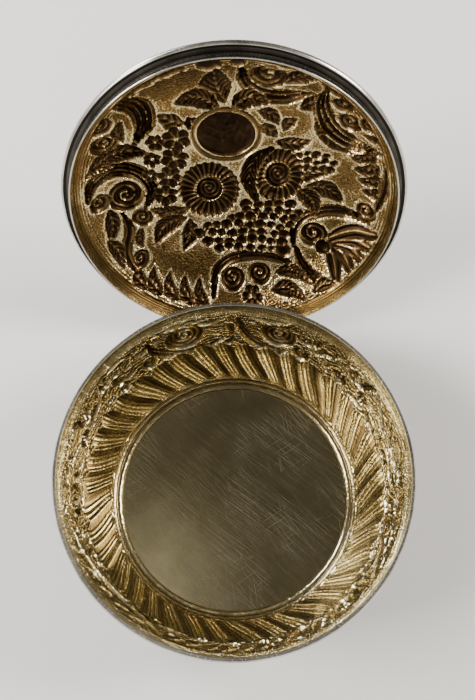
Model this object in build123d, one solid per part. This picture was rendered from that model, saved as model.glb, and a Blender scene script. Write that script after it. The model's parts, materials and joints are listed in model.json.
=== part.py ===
from build123d import *
import math
import os

# Round silver box with a gilt inside: a chased bowl-shaped base on a foot wire, and a loose
# domed lid whose plain flange drops inside the rim of the base. The lid is shown taken off,
# standing on its edge behind the base and leaning back, so its gilt inside faces the front.

# Whole box
rim_radius = 40.0
base_height = 32.0
sheet = 0.6
wire_nose_share = 0.25

# Floor plate and foot of the base
disc_radius = 28.0
foot_height = 1.4
foot_wire_width = 1.5
plate_margin = 1.2

# Chased wall of the base. Its inside is given by places on it, each as a share of the wall's
# width, out from the disc, and a share of its height, up from the disc to the collar
bezel_depth = 3.6
wall_seat_width = 0.8
wall_shoulder_out_share = 0.94
wall_shoulder_up_share = 0.79
wall_waist_out_share = 0.745
wall_waist_up_share = 0.48
flute_top_out_share = 0.59
flute_top_up_share = 0.325
flute_foot_out_share = 0.215
flute_foot_up_share = 0.07

# Forms pressed out of the wall: slanting flutes below, and the masses of the scrolls above, each
# scroll by its turn round the box from the back, in degrees, and its half length and half width
press_depth = 0.9
flute_count = 38
flute_slant = 42
flute_half_length = 6.2
flute_width_share = 0.36
scroll_up_share = 0.66
scroll_reach = 5.0
scroll_turns = (18, 50, 72, 99, 141, 183, 228, 262, 294, 318, 344)
scroll_length_shares = (1, 0.8, 0.9, 0.9, 1.1, 1.2, 1.9, 0.9, 0.8, 0.9, 1.1)
scroll_width_shares = (0.9, 0.6, 0.5, 0.8, 0.9, 0.7, 0.6, 0.9, 0.6, 0.5, 0.9)

# Plain collar inside the rim, and the wire soldered round it
bezel_thickness = 0.4
rim_wire_width = 0.6
rim_wire_height = 1.3

# Lid
flange_fit = 0.2
flange_thickness = 0.35
flange_depth = 2.8
lip_overhang = 0.4
lip_wire_width = 0.6
lip_wire_height = 1.5
margin_width = 1.8
dome_rise = 9.4
crown_radius = 17.0
crown_rise = 8.3
haunch_radius = 31.0
haunch_rise = 5.0

# Fruit, flowers, leaves and scrolls pressed out of the lid, each by its place on the level lid,
# right and forward of the middle, and its half sizes, all as shares of the haunch's radius, and
# by its turn in degrees
halvings = 12
bouquet_depth = 1.5
fruit_shares = ((-0.06, -0.45, 0.23, 0.2), (-0.2, 0.06, 0.25, 0.25), (0.33, -0.08, 0.2, 0.25))
berry_shares = ((0.08, 0.41, 0.38, 0.17), (-0.47, -0.22, 0.11, 0.28), (0.63, -0.19, 0.17, 0.1))
fruit_turns = (0, 0, 12)
berry_turns = (-8, 0, 20)
leaf_depth = 1.0
leaf_shares = (
    (-0.13, -0.82, 0.16, 0.09),
    (-0.27, -0.68, 0.16, 0.08),
    (0.1, -0.7, 0.14, 0.08),
    (0.69, 0.08, 0.16, 0.08),
    (-0.52, 0.23, 0.17, 0.08),
    (-0.52, 0.44, 0.17, 0.08),
)
leaf_turns = (80, 0, -10, 15, 0, 40)
scroll_shares = (
    (0.25, -0.8, 0.15, 0.13),
    (0.66, -0.5, 0.15, 0.12),
    (0.65, 0.41, 0.19, 0.16),
    (0.1, 0.79, 0.2, 0.1),
    (-0.79, 0.02, 0.16, 0.15),
    (-0.77, -0.28, 0.15, 0.08),
    (-0.66, -0.5, 0.12, 0.1),
    (-0.7, 0.4, 0.14, 0.08),
)
scroll_lean_turns = (0, -40, 30, 0, 0, 10, -60, 70)

# Resting place of the lid: the lean of its opening from level, and how far its centre
# stands behind the centre of the base
lid_lean = 66.0
lid_distance = 60.0

# Sizes that follow from those above
bezel_inner_radius = rim_radius - rim_wire_width - bezel_thickness
bezel_outer_radius = rim_radius - rim_wire_width
bezel_foot_height = base_height - bezel_depth
plate_top = foot_height + sheet
plate_radius = disc_radius + plate_margin
wall_top_radius = bezel_inner_radius - wall_seat_width
wall_width = wall_top_radius - disc_radius
wall_foot_height = plate_top + sheet
wall_height = bezel_foot_height - wall_foot_height
wall_shoulder_radius = disc_radius + wall_width * wall_shoulder_out_share
wall_shoulder_height = wall_foot_height + wall_height * wall_shoulder_up_share
wall_waist_radius = disc_radius + wall_width * wall_waist_out_share
wall_waist_height = wall_foot_height + wall_height * wall_waist_up_share
flute_top_radius = disc_radius + wall_width * flute_top_out_share
flute_top_height = wall_foot_height + wall_height * flute_top_up_share
flute_foot_radius = disc_radius + wall_width * flute_foot_out_share
flute_foot_height = wall_foot_height + wall_height * flute_foot_up_share
flute_run = flute_top_radius - flute_foot_radius
flute_rise = flute_top_height - flute_foot_height
flute_middle_radius = (flute_foot_radius + flute_top_radius) / 2
flute_middle_height = (flute_foot_height + flute_top_height) / 2
flute_spacing = flute_middle_radius * 2 * math.pi / flute_count
flute_half_width = flute_spacing * flute_width_share
scroll_height = wall_foot_height + wall_height * scroll_up_share
scroll_band_share = (scroll_height - wall_waist_height) / (wall_shoulder_height - wall_waist_height)
scroll_radius = wall_waist_radius + (wall_shoulder_radius - wall_waist_radius) * scroll_band_share
flange_outer_radius = bezel_inner_radius - flange_fit
flange_inner_radius = flange_outer_radius - flange_thickness
lip_radius = rim_radius + lip_overhang
lip_wire_radius = lip_radius + lip_wire_width
margin_radius = flange_inner_radius - margin_width


def turned(profile):
    """One closed outline in the XZ plane, turned once round the Z axis."""
    return revolve(make_face(profile), Axis.Z)


def ring(inner, outer, bottom, top):
    """A plain ring with a square section."""
    corners = [(inner, bottom), (outer, bottom), (outer, top), (inner, top)]
    return turned(Plane.XZ * Polyline(*corners, close=True))


def half_round_wire(inner, outer, bottom, top):
    """A drawn wire: flat where it is soldered to the sheet, round on the outside."""
    nose_depth = (top - bottom) * wire_nose_share
    nose_foot = (outer - nose_depth, bottom)
    nose_head = (outer - nose_depth, top)
    back = Plane.XZ * Polyline(nose_head, (inner, top), (inner, bottom), nose_foot)
    nose = Plane.XZ * ThreePointArc(nose_foot, (outer, (bottom + top) / 2), nose_head)
    return turned(back + nose)


# Base: the flat plate is soldered on the foot wire, and the wall stands on its margin
def make_foot_wire():
    """The foot wire that the box stands on, worn round on its outside."""
    return half_round_wire(disc_radius - foot_wire_width, disc_radius, 0, foot_height)


def make_plate():
    """The flat floor plate of the box."""
    return ring(0, plate_radius, foot_height, plate_top)


def wall_stations():
    """Inside of the chased wall as (radius, height), from the floor lip to the top."""
    return [
        (flute_foot_radius, flute_foot_height),
        (flute_top_radius, flute_top_height),
        (wall_waist_radius, wall_waist_height),
        (wall_shoulder_radius, wall_shoulder_height),
        (wall_top_radius, bezel_foot_height),
    ]


def boss(half_length, half_width, depth):
    """A low rounded form with its widest level at zero."""
    return scale(Sphere(depth), by=(half_length / depth, half_width / depth, 1))


def pressed(blank, room, places, sizes, depth):
    """Hollow a blank out by its room, with rounded forms pressed out of the sheet: each is
    hollow inside and stands out by its depth outside."""
    for place, (half_length, half_width) in zip(places, sizes):
        blank = blank + place * boss(half_length + sheet, half_width + sheet, depth + sheet)
        room = room + place * boss(half_length, half_width, depth)
    return blank, room


def round_the_wall(turn, radius, height, run, rise, slant):
    """A place on the inside of the wall, facing out square to a stretch of it."""
    lean = math.degrees(math.atan2(run, rise))
    return Rot(0, 0, turn) * Pos(radius, 0, height) * Rot(0, 90 + lean, 0) * Rot(0, 0, slant)


def make_wall():
    """The bowl-shaped wall: a spun sheet with a turned-in lip below and a flared seat above,
    and flutes and scrolls pressed out of it."""
    stations = wall_stations()
    outside = offset_sheet(stations)
    seat_outside = (bezel_outer_radius, bezel_foot_height)
    seat_under = (bezel_outer_radius, bezel_foot_height - sheet)
    head = Plane.XZ * Polyline((0, bezel_foot_height), seat_outside, seat_under, outside[-1])
    back = Plane.XZ * Spline(*reversed(outside))
    toe = Plane.XZ * Polyline(outside[0], (0, plate_top), (0, bezel_foot_height))
    blank = turned(head + back + toe)
    inside = Plane.XZ * Spline((disc_radius, wall_foot_height), *stations)
    mouth = Plane.XZ * Polyline(stations[-1], (0, bezel_foot_height), (0, plate_top))
    well = Plane.XZ * Polyline((0, plate_top), (disc_radius, plate_top), (disc_radius, wall_foot_height))
    room = turned(inside + mouth + well)
    flutes = [flute_place(index) for index in range(flute_count)]
    flute_sizes = [(flute_half_length, flute_half_width)] * flute_count
    blank, room = pressed(blank, room, flutes, flute_sizes, press_depth)
    scrolls = [scroll_place(turn) for turn in scroll_turns]
    scroll_sizes = [
        (scroll_reach * length_share, scroll_reach * width_share)
        for length_share, width_share in zip(scroll_length_shares, scroll_width_shares)
    ]
    blank, room = pressed(blank, room, scrolls, scroll_sizes, press_depth)
    return blank - room


def flute_place(index):
    """The middle of one flute."""
    turn = index * 360 / flute_count
    return round_the_wall(turn, flute_middle_radius, flute_middle_height, flute_run, flute_rise, flute_slant)


def scroll_place(turn):
    """The middle of one scroll, its turn counted from the back as seen from above."""
    run = wall_shoulder_radius - wall_waist_radius
    rise = wall_shoulder_height - wall_waist_height
    return round_the_wall(90 - turn, scroll_radius, scroll_height, run, rise, 90)


def offset_sheet(stations):
    """Outside of the wall: each station moved out by the sheet, square to the wall."""
    shifted = []
    for below, above in zip(stations, stations[1:]):
        run = above[0] - below[0]
        rise = above[1] - below[1]
        length = math.hypot(run, rise)
        middle_radius = (below[0] + above[0]) / 2
        middle_height = (below[1] + above[1]) / 2
        shifted.append((middle_radius + sheet * rise / length, middle_height - sheet * run / length))
    toe = (plate_radius, plate_top)
    crown = (stations[-1][0] + sheet, stations[-1][1] - sheet)
    return [toe] + shifted + [crown]


def make_bezel():
    """The plain upright collar inside the rim that takes the flange of the lid."""
    return ring(bezel_inner_radius, bezel_outer_radius, bezel_foot_height, base_height)


def make_rim_wire():
    """The wire round the top of the collar, flush with its edge."""
    return half_round_wire(bezel_outer_radius, rim_radius, base_height - rim_wire_height, base_height)


# Lid, modelled level with the underside of its lip at zero, then laid in its resting place
def crown(rise, foot_radius, foot):
    """The line of one side of the dome, from its top down to its foot."""
    return Plane.XZ * Spline(
        (0, dome_rise + rise),
        (crown_radius, crown_rise + rise),
        (haunch_radius, haunch_rise + rise),
        (foot_radius, foot),
        tangents=[(1, 0), (1, 0)],
    )


def crown_share(line, radius):
    """How far along the line of the dome a radius lies, found by halving."""
    near = 0
    far = 1
    for _ in range(halvings):
        middle = (near + far) / 2
        if (line @ middle).X < radius:
            near = middle
        else:
            far = middle
    return (near + far) / 2


def lid_places(shares, turns):
    """Places of pressed forms on the inside of the dome, facing out square to it, and their
    half sizes."""
    line = crown(0, margin_radius, 0).edge()
    places = []
    sizes = []
    for (right, forward, length_share, width_share), turn in zip(shares, turns):
        around = math.degrees(math.atan2(forward, right))
        along = crown_share(line, haunch_radius * math.hypot(right, forward))
        spot = line @ along
        slope = line % along
        lean = math.degrees(math.atan2(-slope.Z, slope.X))
        stand = Rot(0, 0, around) * Pos(spot.X, 0, spot.Z) * Rot(0, lean, 0)
        places.append(stand * Rot(0, 0, turn - around))
        sizes.append((haunch_radius * length_share, haunch_radius * width_share))
    return places, sizes


def make_dome():
    """The chased dome: a flat lip and margin, a rounded haunch and a low crown, with fruit,
    flowers, leaves and scrolls pressed out of it."""
    over_foot = (margin_radius + sheet, sheet)
    lip_edge = Plane.XZ * Polyline(
        over_foot, (lip_radius, sheet), (lip_radius, 0), (0, 0), (0, dome_rise + sheet)
    )
    blank = turned(crown(sheet, *over_foot) + lip_edge)
    room_foot = Plane.XZ * Polyline(
        (margin_radius, 0), (margin_radius, -flange_depth), (0, -flange_depth), (0, dome_rise)
    )
    room = turned(crown(0, margin_radius, 0) + room_foot)
    blank, room = pressed(blank, room, *lid_places(fruit_shares, fruit_turns), bouquet_depth)
    blank, room = pressed(blank, room, *lid_places(berry_shares, berry_turns), leaf_depth)
    blank, room = pressed(blank, room, *lid_places(leaf_shares, leaf_turns), leaf_depth)
    blank, room = pressed(blank, room, *lid_places(scroll_shares, scroll_lean_turns), leaf_depth)
    return blank - room


def make_flange():
    """The plain flange that drops inside the collar of the base."""
    return ring(flange_inner_radius, flange_outer_radius, -flange_depth, 0)


def make_lip_wire():
    """The wire soldered round the edge of the lid."""
    bottom = (sheet - lip_wire_height) / 2
    return half_round_wire(lip_radius, lip_wire_radius, bottom, bottom + lip_wire_height)


def resting_place():
    """Turn the level lid back about X, and stand the foot of its lip wire on the table."""
    lean = math.radians(lid_lean)
    nose_depth = lip_wire_height * wire_nose_share
    nose_radius = (lip_wire_height**2 / 4 + nose_depth**2) / (2 * nose_depth)
    nose_centre = lip_wire_radius - nose_radius
    wire_middle = sheet / 2
    lift = nose_centre * math.sin(lean) + wire_middle * math.cos(lean) + nose_radius
    back = lid_distance + flange_depth * math.sin(lean)
    return Pos(0, back, lift) * Rot(lid_lean - 180, 0, 0)


def centred(pieces):
    """Set the open box, base and lid together, over the origin from front to back."""
    front = min(piece.bounding_box().min.Y for piece in pieces.values())
    back = max(piece.bounding_box().max.Y for piece in pieces.values())
    shift = Pos(0, -(front + back) / 2, 0)
    return {name: shift * piece for name, piece in pieces.items()}


def build():
    """Every piece of the box by the name of its node."""
    place = resting_place()
    pieces = {
        "base_foot_wire": make_foot_wire(),
        "base_floor_plate": make_plate(),
        "base_chased_wall": make_wall(),
        "base_collar": make_bezel(),
        "base_rim_wire": make_rim_wire(),
        "lid_chased_dome": place * make_dome(),
        "lid_flange": place * make_flange(),
        "lid_lip_wire": place * make_lip_wire(),
    }
    return centred(pieces)


os.makedirs("parts", exist_ok=True)
for name, piece in build().items():
    export_step(piece, f"parts/{name}.step")
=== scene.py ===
import bpy
import json
import math
import numpy as np
from functools import partial
from mathutils import Matrix, Vector
from types import SimpleNamespace


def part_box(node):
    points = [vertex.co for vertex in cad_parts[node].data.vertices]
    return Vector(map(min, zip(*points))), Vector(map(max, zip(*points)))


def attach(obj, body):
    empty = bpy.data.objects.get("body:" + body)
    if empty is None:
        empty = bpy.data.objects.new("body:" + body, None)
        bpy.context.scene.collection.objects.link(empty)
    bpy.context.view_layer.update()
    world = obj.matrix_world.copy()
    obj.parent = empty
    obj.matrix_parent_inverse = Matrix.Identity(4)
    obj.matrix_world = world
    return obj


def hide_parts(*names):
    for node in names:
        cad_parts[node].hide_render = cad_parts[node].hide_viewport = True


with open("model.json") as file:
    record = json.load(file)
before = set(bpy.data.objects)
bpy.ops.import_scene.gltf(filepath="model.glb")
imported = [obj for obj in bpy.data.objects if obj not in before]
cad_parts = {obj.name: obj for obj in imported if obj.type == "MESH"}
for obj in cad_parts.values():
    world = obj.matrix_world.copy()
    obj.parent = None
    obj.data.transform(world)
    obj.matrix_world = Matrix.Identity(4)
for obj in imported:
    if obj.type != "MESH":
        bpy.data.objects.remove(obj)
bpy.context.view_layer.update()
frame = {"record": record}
MM = 0.001


# --- Foot wire -------------------------------------------------------------------------------
# The box stands on a drawn silver wire, bent to a ring and soldered under the floor plate.
# Its outside is rounded by wear; its underside is flat where it rubs the table.

def spin_outline(name, outline, steps, weld=0.001 * MM):
    """Lay an outline of (radius, height) in mm as a closed loop and spin it once round Z. Points
    that meet at the axis and at the seam, closer than the weld, become one."""
    bpy.ops.object.select_all(action="DESELECT")
    bpy.ops.mesh.primitive_circle_add(vertices=len(outline), radius=MM, fill_type="NOTHING")
    piece = bpy.context.active_object
    piece.name = piece.data.name = name
    for vertex, (radius, height) in zip(piece.data.vertices, outline):
        vertex.co = (radius * MM, 0, height * MM)
    bpy.ops.object.mode_set(mode="EDIT")
    bpy.ops.mesh.select_all(action="SELECT")
    bpy.ops.mesh.spin(steps=steps, angle=math.tau, center=(0, 0, 0), axis=(0, 0, 1))
    bpy.ops.mesh.select_all(action="SELECT")
    bpy.ops.mesh.remove_doubles(threshold=weld)
    bpy.ops.mesh.normals_make_consistent(inside=False)
    bpy.ops.object.mode_set(mode="OBJECT")
    return piece


def shade_turned(piece, angle=35):
    """Smooth shading, with the turned corners left sharp."""
    bpy.ops.object.select_all(action="DESELECT")
    piece.select_set(True)
    bpy.context.view_layer.objects.active = piece
    bpy.ops.object.shade_smooth_by_angle(angle=math.radians(angle))


def linear(hex_colour):
    """An sRGB hex colour as the linear RGBA that a shader socket takes."""
    parts = [int(hex_colour[i:i + 2], 16) / 255 for i in (1, 3, 5)]
    return [c / 12.92 if c <= 0.04045 else ((c + 0.055) / 1.055) ** 2.4 for c in parts] + [1]


def add_node(tree, kind, sockets=None, **settings):
    """Add a node with its settings. A socket takes a value, or a link: (node, output), or only
    the node where its first output is meant."""
    node = tree.nodes.new("ShaderNode" + kind)
    for key, value in settings.items():
        setattr(node, key, value)
    for key, value in (sockets or {}).items():
        source, output = value if isinstance(value, tuple) and hasattr(value[0], "outputs") else (value, 0)
        if hasattr(source, "outputs"):
            tree.links.new(source.outputs[output], node.inputs[key])
        else:
            node.inputs[key].default_value = value
    return node


def ramp(add, factor, stops):
    """A colour ramp through (position, hex colour) stops."""
    node = add("ValToRGB", {"Fac": factor})
    bands = node.color_ramp.elements
    while len(bands) < len(stops):
        bands.new(1)
    for band, (place, hex_colour) in zip(bands, stops):
        band.position = place
        band.color = linear(hex_colour)
    return node


def noise(add, place, grain, detail, roughness=0.5):
    """Soft noise over a piece. Its grain is in mm."""
    return add("TexNoise", {"Vector": (place, "Object"), "Scale": 1 / (grain * MM), "Detail": detail,
                            "Roughness": roughness})


def remap(add, value, start=(0, 1), end=(0, 1)):
    """Carry one range of a value over to another."""
    return add("MapRange", {"Value": value, "From Min": start[0], "From Max": start[1], "To Min": end[0],
                            "To Max": end[1]})


def maths(add, operation, *values):
    """A maths node over its values."""
    return add("Math", dict(enumerate(values)), operation=operation)


def new_material(name):
    """A node material with its output: the material, the call that adds its nodes, its shader."""
    material = bpy.data.materials.new(name)
    material.use_nodes = True
    material.node_tree.nodes.clear()
    add = partial(add_node, material.node_tree)
    shader = add("BsdfPrincipled")
    add("OutputMaterial", {"Surface": shader})
    return material, add, shader


def finish_metal(shader, colour, roughness, bump):
    """Make the shader bare metal, and link its colour, its roughness and its bump."""
    for socket, output in (("Base Color", colour), ("Roughness", roughness.outputs[0]),
                           ("Normal", bump.outputs[0])):
        shader.id_data.links.new(output, shader.inputs[socket])
    shader.inputs["Metallic"].default_value = 1


def dress(piece, *materials):
    """Give a piece its materials, one slot each."""
    for material in materials:
        piece.data.materials.append(material)


def polished_silver():
    """Sterling silver, drawn or spun, hand polished and worn. Long use leaves hairline rubs in
    every direction and a faint warm bloom of tarnish where the cloth misses."""
    material, add, shader = new_material("worn polished silver")
    place = add("TexCoord")
    bloom = noise(add, place, 9, 5.0, 0.6)
    tone = ramp(add, bloom, [(0.3, "#8f8a80"), (0.55, "#c9c5bb"), (0.8, "#dedbd3")])
    haze = remap(add, noise(add, place, 0.5, 3.0), end=(0.16, 0.34))
    bump = add("Bump", {"Height": noise(add, place, 4, 2.0), "Strength": 0.35, "Distance": 0.05 * MM})
    finish_metal(shader, tone.outputs["Color"], haze, bump)
    return material


silver = polished_silver()
round_steps = 288


def turned(name, outline, *materials):
    """A plain piece spun from its outline, in its materials."""
    piece = spin_outline(name, outline, round_steps)
    shade_turned(piece)
    dress(piece, *materials)
    return piece


def half_round(inner, outer, bottom, top):
    """Outline of a drawn wire: flat inside, and a round nose outside, a quarter of its height deep."""
    arc_points = 9
    nose = (top - bottom) / 4
    half = (top - bottom) / 2
    radius = (half ** 2 + nose ** 2) / (2 * nose)
    sweep = math.asin(half / radius)
    outline = [(inner, top), (inner, bottom)]
    for i in range(arc_points):
        turn = -sweep + 2 * sweep * i / (arc_points - 1)
        outline.append((outer - radius + radius * math.cos(turn), (bottom + top) / 2 + radius * math.sin(turn)))
    return outline


def sizes(node):
    """Outer radius, bottom and top of a ring node that stands level, in mm."""
    low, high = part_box(node)
    return high[0] / MM, low[2] / MM, high[2] / MM


base_low, base_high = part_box("base_rim_wire")
base_place = Matrix.Translation((0, (base_low[1] + base_high[1]) / 2, 0))
foot_wire_width = 1.5
foot_radius, foot_bottom, foot_top = sizes("base_foot_wire")
foot_outline = half_round(foot_radius - foot_wire_width, foot_radius, foot_bottom, foot_top)
foot_wire = turned("foot_wire", foot_outline, silver)
foot_wire.data.transform(base_place)
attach(foot_wire, "base")
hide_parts("base_foot_wire")


# --- Floor plate -----------------------------------------------------------------------------
# A flat disc of sheet silver, gilt on top, with a bright line of solder and burnish at its edge.
# Years of use have scored it with fine scratches, most of them slanting one way.

def scratched_gilt():
    """Fire gilding over silver, gone olive with age. Burnished flat, it mirrors softly and
    shows long hairline scratches and a mottled tarnish."""
    material, add, shader = new_material("scratched old gilding")
    place = add("TexCoord")
    tone = ramp(add, noise(add, place, 14, 6.0, 0.65), [(0.3, "#8d8160"), (0.5, "#9c906c"), (0.7, "#a99d7c")])
    marks = None
    across = 0.1  # mm, wider than a real scratch, so that it shows
    # Each set of scratches: its turn in degrees, its length in mm, and how rare it is
    for turn, length, rare in ((36, 34, 0.66), (42, 14, 0.67), (54, 20, 0.68), (-32, 12, 0.72), (80, 10, 0.72)):
        slant = add("Mapping", {"Vector": (place, "Object"), "Rotation": (0, 0, math.radians(turn))})
        drawn = add("Mapping", {"Vector": slant, "Scale": (1 / (length * MM), 1 / (across * MM), 1)})
        grain = add("TexNoise", {"Vector": drawn, "Scale": 1.0, "Detail": 0.0})
        mark = remap(add, grain, (rare, rare + 0.12))
        marks = mark if marks is None else maths(add, "MAXIMUM", marks, mark)
    patch = remap(add, noise(add, place, 11, 2.0), (0.42, 0.66), (0.2, 0.65))
    faint = maths(add, "MULTIPLY", marks, patch)
    haze = remap(add, faint, end=(0.17, 0.4))
    pale = add("Mix", {"Factor": faint, 6: tone, 7: linear("#e6dcc0")}, data_type="RGBA")
    bump = add("Bump", {"Height": faint, "Strength": 0.3, "Distance": 0.02 * MM}, invert=True)
    finish_metal(shader, pale.outputs[2], haze, bump)
    return material


def paint_faces(piece, test, slot):
    """Give the faces whose centre passes a test the material in one slot."""
    for face in piece.data.polygons:
        if test(face.center / MM, face.normal):
            face.material_index = slot


plate_radius, plate_bottom, plate_top = sizes("base_floor_plate")
plate_outline = [(0, plate_bottom), (plate_radius, plate_bottom), (plate_radius, plate_top)]
plate_rings = 12
plate_outline += [(radius, plate_top) for radius in np.linspace(plate_radius - 1, 0, plate_rings)]
floor_plate = turned("floor_plate", plate_outline, silver, scratched_gilt())
paint_faces(floor_plate, lambda centre, normal: normal.z > 0.5, 1)
floor_plate.data.transform(base_place)
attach(floor_plate, "base")
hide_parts("base_floor_plate")


# --- Chased wall -----------------------------------------------------------------------------
# One spun sheet, raised and chased from both sides: scrolls and flowers on a matted ground
# above, and slanting lobes with fine lines below. Inside it is gilt, outside silver.

SHEET = 0.6  # mm of silver
PLAIN = -5  # stands for the mm along the sheet where nothing is chased: seats and edges


def ease(x):
    """A smooth step from 0 to 1."""
    x = np.clip(x, 0, 1)
    return x * x * (3 - 2 * x)


def smooth_line(points, count):
    """A smooth curve through given points, evenly stepped from knot to knot."""
    knots = np.array(points, float)
    padded = np.vstack([2 * knots[0] - knots[1], knots, 2 * knots[-1] - knots[-2]])
    steps = np.linspace(0, len(knots) - 1, count)
    first = np.minimum(steps.astype(int), len(knots) - 2)
    t = (steps - first)[:, None]
    p0, p1, p2, p3 = (padded[first + k] for k in range(4))
    return 0.5 * (2 * p1 + (p2 - p0) * t + (2 * p0 - 5 * p1 + 4 * p2 - p3) * t ** 2
                  + (3 * p1 - p0 - 3 * p2 + p3) * t ** 3)


def new_field(x, y):
    """A relief over points of the sheet: its height outwards in mm, where its ground is matted, and
    the painted light on it, as mm of depth taken off its tarnish and painted shade; below zero it adds painted
    shade."""
    return SimpleNamespace(x=x, y=y, height=np.zeros_like(x), ground=np.ones_like(x), painted_light_on_tarnish=np.zeros_like(x))


def press(field, where, edge, height, line=0.22):
    """Press one form into the sheet. Edge is how far inside its outline a point lies, in mm;
    the chaser's tool leaves a line along the outline, as deep as the last value in mm."""
    flank, tool_width, matting_gap = 0.6, 0.28, 0.3
    inside = ease(edge / flank + 0.5)
    field.height[where] = field.height[where] * (1 - inside) + height * inside
    field.height[where] -= line * np.exp(-(edge / tool_width) ** 2)
    field.ground[where] *= 1 - ease(edge / matting_gap + 0.8)


def near(field, x, y, reach):
    """The points of the sheet within reach of a place."""
    return np.nonzero((np.abs(field.x - x) < reach) & (np.abs(field.y - y) < reach))[0]


def ribbon(field, points, widths, height, reeds=0, rib=0.0, veins=0):
    """A form that follows a curve: a scroll with reeds along it, or a leaf with a midrib and veins.
    Widths are half the form's width in mm, from its start to its end."""
    curve = smooth_line(points, count=90)
    width = np.interp(np.linspace(0, 1, len(curve)), np.linspace(0, 1, len(widths)), widths)
    middle = (curve.min(0) + curve.max(0)) / 2
    reach = (curve.max(0) - curve.min(0)).max() / 2 + max(widths) + 1
    where = near(field, middle[0], middle[1], reach)
    if not len(where):
        return
    place = np.stack([field.x[where], field.y[where]], 1)
    gap = ((place[:, None] - curve[None]) ** 2).sum(2)
    nearest = gap.argmin(1)
    distance = np.sqrt(gap[np.arange(len(where)), nearest])
    tangent = np.gradient(curve, axis=0)[nearest]
    offset = place - curve[nearest]
    side = np.sign(tangent[:, 0] * offset[:, 1] - tangent[:, 1] * offset[:, 0])
    half = np.maximum(width[nearest], 0.05)
    across = np.clip(side * distance / half, -1.3, 1.3)
    along = nearest / len(curve)
    body = np.sqrt(np.clip(1 - across ** 2 * 0.85, 0, 1))
    if reeds:
        body = body * (1 - 0.8 * (0.5 - 0.5 * np.cos(math.pi * reeds * (across + 1))) ** 2)
    if rib:
        body = body - rib * np.exp(-(across * half / 0.3) ** 2)
    if veins:
        body = body * (1 - 0.6 * (0.5 - 0.5 * np.cos(math.tau * veins * (along - 0.3 * np.abs(across)))) ** 2)
    press(field, where, half - distance, height * body)


def leaf(field, root, tip, width, height=0.8, bend=0.0, veins=6):
    """A leaf from its root to its tip, bent to one side by a share of its length."""
    root, tip = np.array(root, float), np.array(tip, float)
    span = tip - root
    middle = (root + tip) / 2 + bend * np.array([-span[1], span[0]])
    ribbon(field, [root, middle, tip], [0.25, 0.8 * width / 2, width / 2, 0.62 * width / 2, 0.1], height,
           rib=0.5, veins=veins)


def coil(field, x, y, radius, height=1.0, pitch=1.25, hand=1, turn=0.0):
    """A volute: a cupped disc with a line that winds in to its eye, a turn for each pitch in mm."""
    eye = 0.3 * radius
    where = near(field, x, y, radius + 1)
    dx, dy = field.x[where] - x, field.y[where] - y
    distance, angle = np.hypot(dx, dy), np.arctan2(dy, dx) - math.radians(turn)
    wind = np.cos(math.tau * (distance / pitch - hand * angle / math.tau))
    cup = np.sqrt(np.clip(1 - (distance / radius) ** 2 * 0.88, 0, 1))
    body = height * cup * (1 - 0.75 * (0.5 - 0.5 * wind) ** 2) - 0.25 * height * np.exp(-(distance / eye) ** 2)
    press(field, where, radius - distance, body, line=0.3)


def scroll(field, lead, x, y, radius, hand=1, width=1.2, height=1.0):
    """A scroll: a reeded band that sweeps in along a lead and curls round a volute."""
    start = math.atan2(lead[-1][1] - y, lead[-1][0] - x)
    turns = [start + hand * math.radians(step) for step in (25, 65, 110, 160, 215)]
    reach = radius + 0.5 * width
    curl = [(x + reach * math.cos(turn), y + reach * math.sin(turn)) for turn in turns]
    ribbon(field, lead + curl, [share * width for share in (0.3, 0.9, 1, 0.8, 0.2)], height, reeds=3)
    coil(field, x, y, radius, height, 1.2, -hand)


def boss(field, x, y, radius, height):
    """A round boss, raised with a domed punch."""
    where = near(field, x, y, radius + 1)
    distance = np.hypot(field.x[where] - x, field.y[where] - y)
    press(field, where, radius - distance, height * np.sqrt(np.clip(1 - (distance / radius) ** 2 * 0.9, 0, 1)))


def rosette(field, x, y, radius, petals=5, turn=0.0, height=0.8):
    """An open flower of cupped petals round a small eye."""
    where = near(field, x, y, radius + 1)
    dx, dy = field.x[where] - x, field.y[where] - y
    distance, angle = np.hypot(dx, dy), np.arctan2(dy, dx)
    petal = np.abs(np.cos(petals * (angle - math.radians(turn)) / 2))
    edge = radius * (0.78 + 0.22 * petal) - distance
    hump = np.sqrt(np.clip(1 - (distance / radius - 0.55) ** 2 * 2.2, 0, 1))
    cup = height * (0.35 + 0.65 * petal ** 0.6) * hump
    eye = 0.55 * height * np.exp(-(distance / (0.24 * radius)) ** 2)
    press(field, where, edge, cup - eye, line=0.26)


def fill_ground(field, low, high, tries, size):
    """Small sprigs and flowers that the chaser sets wherever the ground is still bare."""
    chance = np.random.default_rng(7)
    left, right = field.x.min(), field.x.max()
    bare, flower_share = 0.9, 0.3
    for _ in range(tries):
        x, y, turn = chance.uniform(left, right), chance.uniform(low, high), chance.uniform(0, math.tau)
        where = near(field, x, y, 1.1 * size)
        if len(where) < 4 or field.ground[where].min() < bare:
            continue
        length = chance.uniform(1.0, 1.7) * size
        tip = (x + length * math.cos(turn), y + length * math.sin(turn))
        if chance.uniform() < flower_share:
            rosette(field, x, y, 0.95 * size, 5, math.degrees(turn), 0.6)
        else:
            leaf(field, (2 * x - tip[0], 2 * y - tip[1]), tip, 1.3 * size, 0.6, 0.25, 3)


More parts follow.
